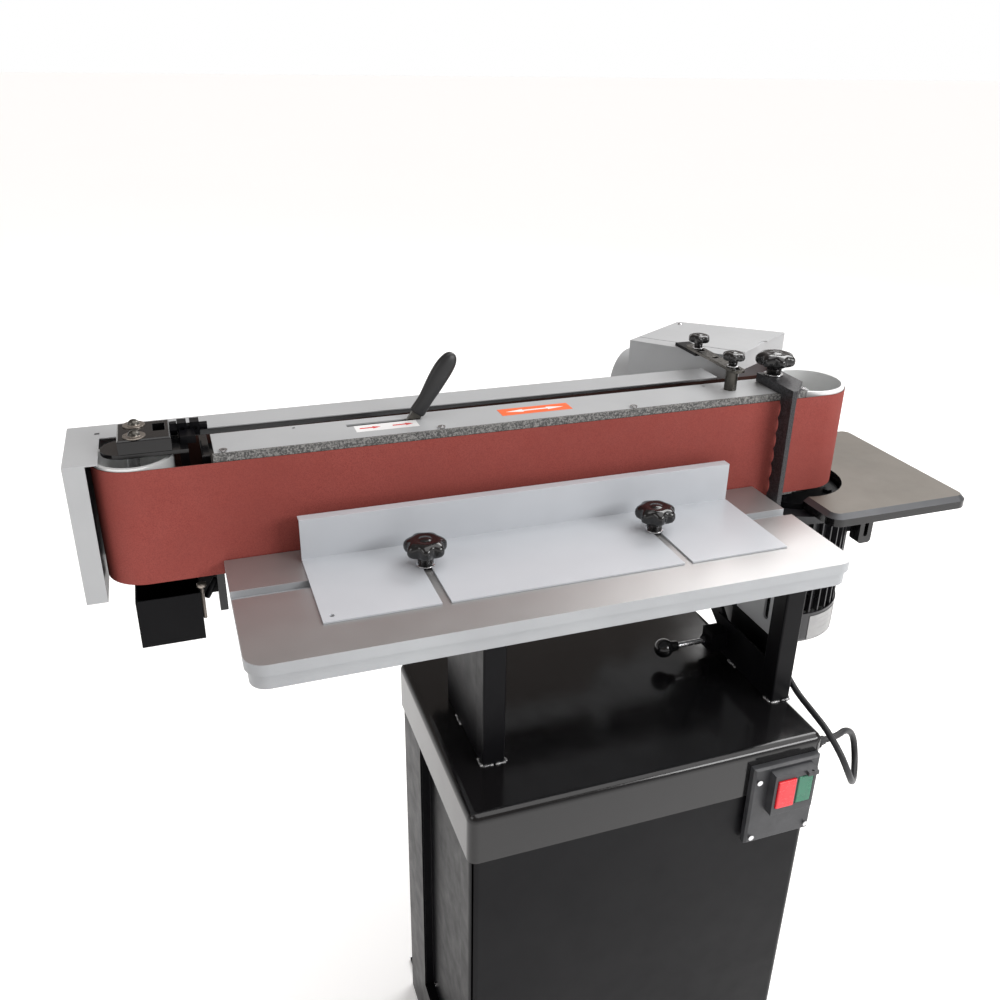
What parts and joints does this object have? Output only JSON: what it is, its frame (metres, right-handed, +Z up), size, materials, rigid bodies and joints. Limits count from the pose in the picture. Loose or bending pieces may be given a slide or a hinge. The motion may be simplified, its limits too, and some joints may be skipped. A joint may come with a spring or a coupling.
{
  "type": "edge belt sander",
  "caption": "Stationary edge belt sander: wide belt on two drums over a steel platen, grooved work table with fence, end table, work stop, dust hood and vertical motor on a cabinet stand.",
  "frame": {"origin": "floor level at the centre of the four foot bolts of the cabinet stand", "axes": "+X along the belt's working run from idler to drive drum, +Y from the operator towards the back of the machine, +Z up"},
  "size_m": [1.263, 0.657, 1.1476],
  "materials": {
    "black_paint": "gloss black enamel",
    "grey_paint": "satin light grey",
    "cast_table": "ground top, painted sides",
    "motor_paint": "black paint on cast fins",
    "plastic": "moulded black",
    "red_plastic": "gloss",
    "green_plastic": "gloss",
    "steel": "machined",
    "block_black": "gloss black",
    "drum": "turned",
    "pad": "speckled grey graphite canvas",
    "belt": "red-brown abrasive grain",
    "rubber": "matt"
  },
  "bodies": {
    "stand": {"stand_cap": "black_paint", "cabinet_shell": "black_paint", "side_panel": "black_paint", "cabinet_screws": "steel", "foot_plates": "steel", "left_upright": "black_paint", "right_upright": "black_paint", "plunger_block": "black_paint", "switch_plate": "plastic", "switch_module": "plastic", "cable_glands": "rubber", "motor_cable": "rubber"},
    "table": {"main_table": "cast_table", "left_table_bracket": "grey_paint", "right_table_bracket": "grey_paint", "fence_studs": "steel"},
    "fence": {"fence": "grey_paint"},
    "left_fence_knob": {"left_fence_knob": "plastic"},
    "right_fence_knob": {"right_fence_knob": "plastic"},
    "left_lock_handle": {"left_lock_handle": "plastic"},
    "right_lock_handle": {"right_lock_handle": "plastic"},
    "index_plunger": {"index_plunger": "steel"},
    "stop_button": {"stop_button": "red_plastic"},
    "start_button": {"start_button": "green_plastic"},
    "head": {"head_beam": "black_paint", "left_tilt_arm": "black_paint", "right_tilt_arm": "black_paint", "platen": "steel", "graphite_pad": "pad", "platen_cover": "grey_paint", "cover_screws": "steel", "rear_guard": "grey_paint", "abrasive_belt": "belt", "end_plate": "black_paint", "lower_box": "black_paint", "motor_bracket": "black_paint", "motor_body": "motor_paint", "fan_cover": "plastic", "terminal_box": "plastic", "leg_screw": "steel", "clamp_studs": "steel"},
    "carriage": {"idler_axle": "steel", "idler_yoke": "steel", "tracking_block": "block_black", "tracking_screws": "steel", "tracking_rod": "steel"},
    "idler": {"idler_drum": "drum"},
    "tension_lever": {"lever_blade": "steel", "lever_grip": "plastic"},
    "drive": {"drive_drum": "drum", "drive_shaft": "steel"},
    "end_table": {"end_table": "cast_table"},
    "work_stop": {"work_stop": "black_paint"},
    "stop_knob": {"stop_knob": "plastic"},
    "hood": {"dust_hood": "grey_paint", "hood_lid": "grey_paint", "link_bar": "steel", "link_support": "black_paint"},
    "front_hood_knob": {"front_hood_knob": "plastic"},
    "rear_hood_knob": {"rear_hood_knob": "plastic"}
  },
  "joints": [
    {"name": "head_tilt", "type": "hinge", "parent": "stand", "child": "head", "pos_m": [0, 0.122, 0.775], "axis": [-1, 0, 0], "range_deg": [0, 90]},
    {"name": "table_height", "type": "slide", "parent": "stand", "child": "table", "axis": [0, 0, 1], "range_m": [-0.015, 0.058]},
    {"name": "fence_slide", "type": "slide", "parent": "table", "child": "fence", "axis": [0, 1, 0], "range_m": [-0.012, 0.014]},
    {"name": "left_fence_clamp", "type": "hinge", "parent": "table", "child": "left_fence_knob", "pos_m": [-0.2455, 0.02, 0.93], "axis": [0, 0, 1], "range_deg": [0, 180]},
    {"name": "right_fence_clamp", "type": "hinge", "parent": "table", "child": "right_fence_knob", "pos_m": [0.071, 0.02, 0.93], "axis": [0, 0, 1], "range_deg": [0, 180]},
    {"name": "left_table_lock", "type": "hinge", "parent": "stand", "child": "left_lock_handle", "pos_m": [-0.215, -0.021, 0.84], "axis": [1, 0, 0], "range_deg": [-90, 0]},
    {"name": "right_table_lock", "type": "hinge", "parent": "stand", "child": "right_lock_handle", "pos_m": [0.259, -0.021, 0.84], "axis": [1, 0, 0], "range_deg": [-90, 0]},
    {"name": "index_pin", "type": "slide", "parent": "stand", "child": "index_plunger", "axis": [1, 0, 0], "range_m": [0, 0.006]},
    {"name": "stop_press", "type": "slide", "parent": "stand", "child": "stop_button", "axis": [0, 1, 0], "range_m": [0, 0.003], "stiffness_N_per_m": 400, "springref_m": -0.003},
    {"name": "start_press", "type": "slide", "parent": "stand", "child": "start_button", "axis": [0, 1, 0], "range_m": [0, 0.003], "stiffness_N_per_m": 400, "springref_m": -0.003},
    {"name": "carriage_slide", "type": "slide", "parent": "head", "child": "carriage", "axis": [1, 0, 0], "range_m": [0, 0.008]},
    {"name": "lever_swing", "type": "hinge", "parent": "head", "child": "tension_lever", "pos_m": [-0.274, 0.164, 0.978], "axis": [0, 1, 0], "range_deg": [-46, 0]},
    {"name": "drive_spin", "type": "hinge", "parent": "head", "child": "drive", "pos_m": [0.3938, 0.17, 0.98], "axis": [0, 0, 1], "continuous": true},
    {"name": "idler_spin", "type": "hinge", "parent": "carriage", "child": "idler", "pos_m": [-0.5696, 0.161, 0.98], "axis": [0, 0, 1], "continuous": true},
    {"name": "end_table_height", "type": "slide", "parent": "head", "child": "end_table", "axis": [0, 0, 1], "range_m": [0, 0.028]},
    {"name": "work_stop_slide", "type": "slide", "parent": "head", "child": "work_stop", "axis": [0, 1, 0], "range_m": [-0.012, 0]},
    {"name": "work_stop_clamp", "type": "hinge", "parent": "head", "child": "stop_knob", "pos_m": [0.325, 0.157, 1.09], "axis": [0, 0, 1], "range_deg": [0, 180]},
    {"name": "hood_slide", "type": "slide", "parent": "head", "child": "hood", "axis": [0, 1, 0], "range_m": [0, 0.01]},
    {"name": "front_hood_clamp", "type": "hinge", "parent": "head", "child": "front_hood_knob", "pos_m": [0.25, 0.152, 1.105], "axis": [0, 0, 1], "range_deg": [0, 180]},
    {"name": "rear_hood_clamp", "type": "hinge", "parent": "hood", "child": "rear_hood_knob", "pos_m": [0.25, 0.25, 1.105], "axis": [0, 0, 1], "range_deg": [0, 180]}
  ],
  "couplings": [
    {"joint": "lever_swing", "follows": "carriage_slide", "rad_per_m": -100.3},
    {"joint": "idler_spin", "follows": "drive_spin", "ratio": 1.1837}
  ]
}
